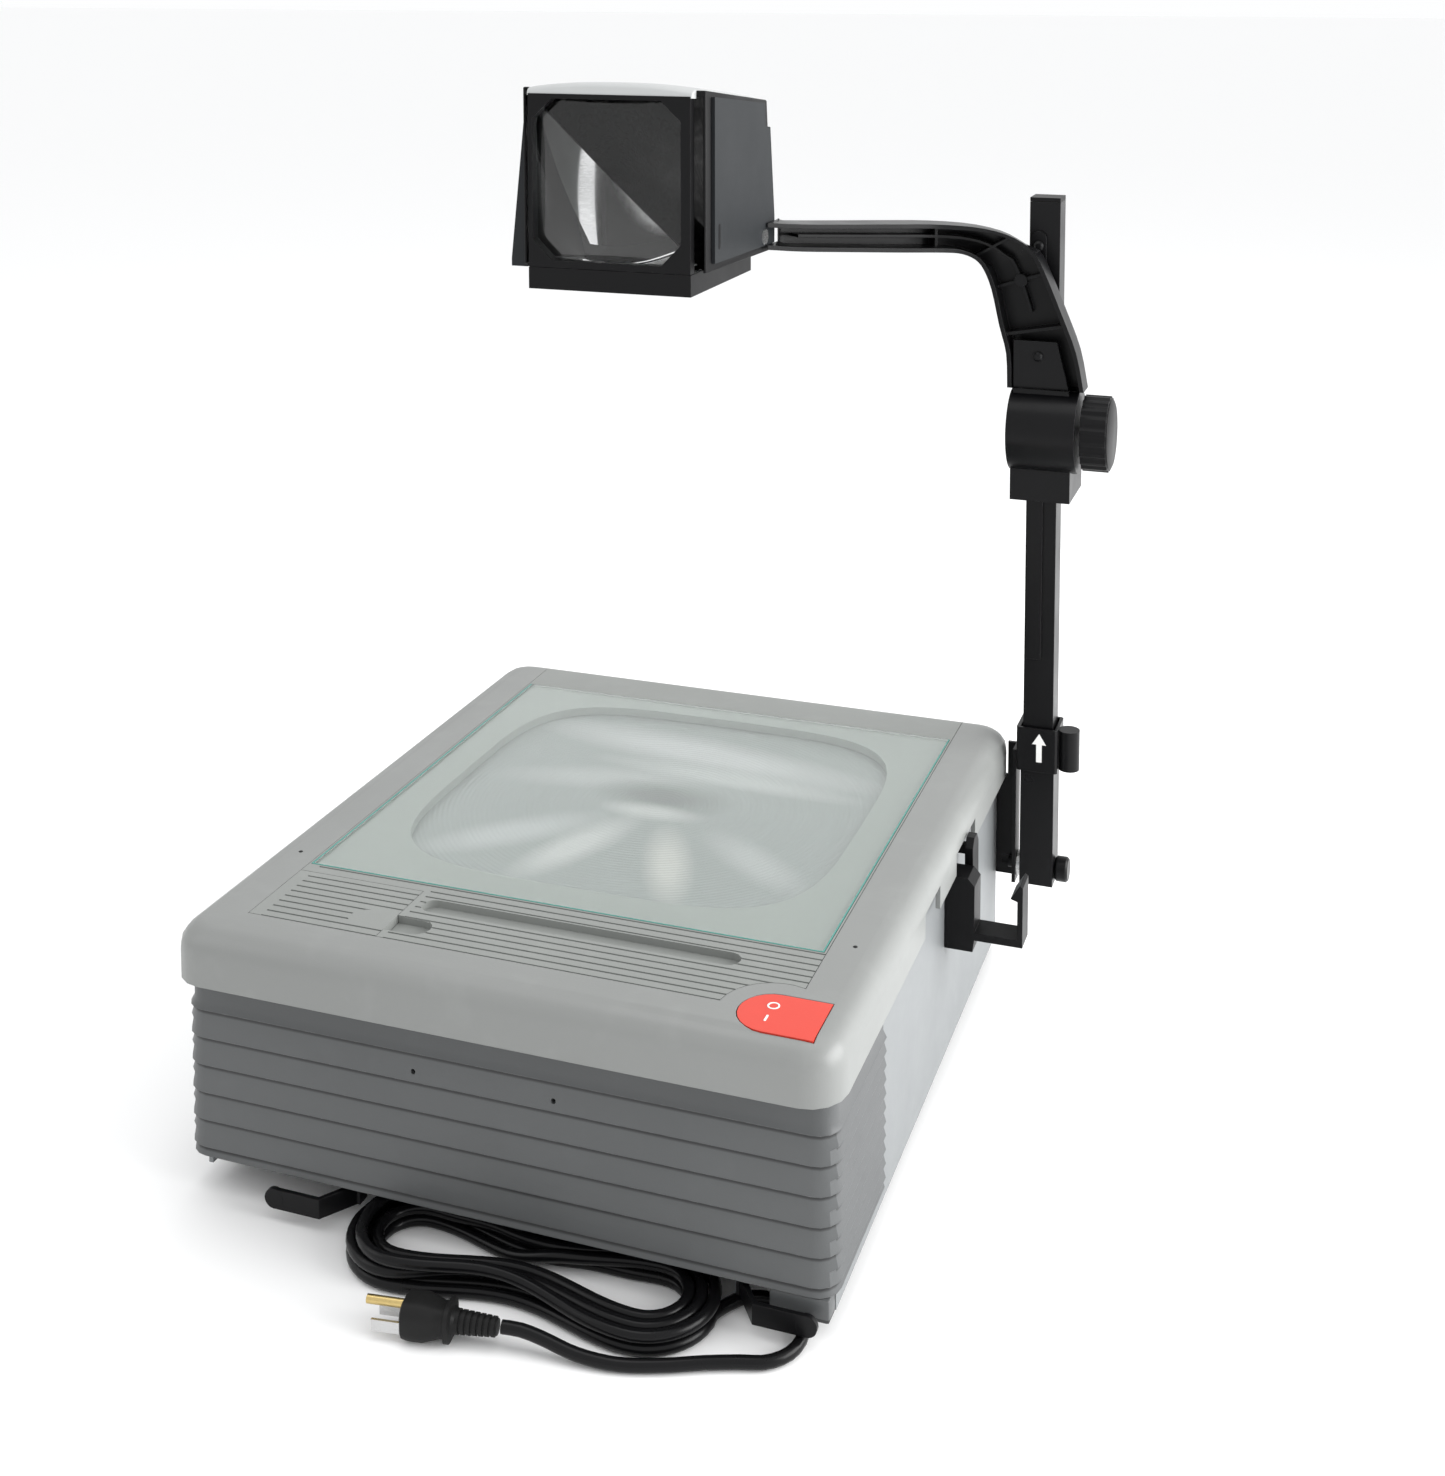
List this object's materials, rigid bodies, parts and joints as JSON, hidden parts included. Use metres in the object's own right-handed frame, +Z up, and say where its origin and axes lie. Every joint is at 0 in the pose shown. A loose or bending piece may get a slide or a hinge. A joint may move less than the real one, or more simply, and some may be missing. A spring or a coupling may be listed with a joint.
{
  "type": "overhead projector",
  "caption": "Grey overhead projector with a glass stage, ribbed dark grey front, folding corner post, geared focus carriage, curved arm and closed mirror head, with its cord stowed in front.",
  "frame": {"origin": "middle of the machine's own bounding box without the cord, on the plane that its rubber feet stand on", "axes": "+X to the right along the front, +Y from the front to the rear, +Z up along the post"},
  "size_m": [0.4834, 0.5336, 0.6499],
  "materials": {
    "light_grey_plastic": "fine moulded grain, satin",
    "dark_grey_plastic": "fine moulded grain, matt",
    "black_plastic": "fine texture, satin",
    "black_metal": "semi-gloss paint",
    "black_rubber": "satin moulding",
    "red_plastic": "satin",
    "clear_glass": "polished, green edge",
    "fresnel_acrylic": "clear, finely ringed",
    "bright_steel": "plated",
    "brass": "drawn",
    "mirror": "front-silvered"
  },
  "bodies": {
    "base": {"top_cover": "light_grey_plastic", "base_shell": "light_grey_plastic", "base_pan": "black_metal", "corner_block": "dark_grey_plastic", "rubber_foot_front_left": "black_rubber", "rubber_foot_front_right": "black_rubber", "rubber_foot_rear_left": "black_rubber", "rubber_foot_rear_right": "black_rubber", "front_panel": "dark_grey_plastic", "cord_hook_left": "black_metal", "cord_hook_right": "black_metal", "switch_body": "black_plastic", "post_cradle": "black_plastic", "condenser_lens": "clear_glass", "condenser_bracket": "bright_steel", "lamp_reflector": "mirror", "fan_frame": "black_plastic", "hinge_bracket": "black_metal", "pivot_washer": "bright_steel", "pivot_bolt": "bright_steel", "cord_gland": "black_rubber", "cord_lead": "black_rubber", "cord_hank": "black_rubber", "cord_tail": "black_rubber", "plug_body": "black_rubber", "plug_blade_front": "bright_steel", "plug_blade_rear": "bright_steel", "plug_ground_pin": "brass"},
    "lid": {"stage_lid": "light_grey_plastic", "stage_glass": "clear_glass", "fresnel_lens": "fresnel_acrylic"},
    "door": {"lamp_door": "light_grey_plastic"},
    "switch": {"power_switch": "red_plastic"},
    "lamp_changer": {"lamp_change_lever": "black_plastic", "changer_link": "bright_steel", "lamp_tray": "bright_steel", "lamp_in_use": "clear_glass", "lamp_spare": "clear_glass"},
    "fan": {"fan_rotor": "black_plastic"},
    "post": {"post_sleeve": "black_metal", "post_tube": "black_metal", "post_cap": "black_plastic", "rack_strip": "black_metal", "rack_screw": "bright_steel"},
    "collar": {"lock_collar": "black_metal"},
    "carriage": {"focus_carriage": "black_metal", "projection_arm": "black_metal", "carriage_screw": "bright_steel", "head_tilt_pin": "bright_steel"},
    "knob": {"focus_knob": "black_plastic", "focus_pinion": "bright_steel"},
    "head": {"lens_housing": "black_plastic", "objective_lens": "clear_glass", "head_hood": "black_plastic", "head_front_frame": "black_plastic", "front_lens": "clear_glass", "head_mirror": "mirror"}
  },
  "joints": [
    {"name": "post_fold", "type": "hinge", "parent": "base", "child": "post", "pos_m": [0.18985, 0.214, 0.071], "axis": [1, 0, 0], "range_deg": [0, 62]},
    {"name": "focus_slide", "type": "slide", "parent": "post", "child": "carriage", "axis": [0, 0, 1], "range_m": [-0.03, 0.045]},
    {"name": "focus_knob_turn", "type": "hinge", "parent": "carriage", "child": "knob", "pos_m": [0.22185, 0.19, 0.401], "axis": [1, 0, 0], "range_deg": [-270, 190]},
    {"name": "head_tilt", "type": "hinge", "parent": "carriage", "child": "head", "pos_m": [0.02485, 0.054, 0.548], "axis": [1, 0, 0], "range_deg": [-4, 12]},
    {"name": "collar_lift", "type": "slide", "parent": "post", "child": "collar", "axis": [0, 0, 1], "range_m": [0, 0.018]},
    {"name": "lid_hinge", "type": "hinge", "parent": "base", "child": "lid", "pos_m": [-0.03815, 0.2352, 0.1571], "axis": [1, 0, 0], "range_deg": [-30, 0]},
    {"name": "door_hinge", "type": "hinge", "parent": "base", "child": "door", "pos_m": [-0.20635, -0.173, 0.1675], "axis": [0, -1, 0], "range_deg": [0, 100]},
    {"name": "switch_rock", "type": "hinge", "parent": "base", "child": "switch", "pos_m": [0.12035, -0.205, 0.1613], "axis": [1, 0, 0], "range_deg": [0, 5]},
    {"name": "lamp_change", "type": "slide", "parent": "base", "child": "lamp_changer", "axis": [0, 1, 0], "range_m": [0, 0.018]},
    {"name": "fan_spin", "type": "hinge", "parent": "base", "child": "fan", "pos_m": [-0.13815, 0.21, 0.08], "axis": [0, 1, 0], "continuous": true}
  ],
  "couplings": [
    {"joint": "focus_knob_turn", "follows": "focus_slide", "rad_per_m": -98}
  ]
}
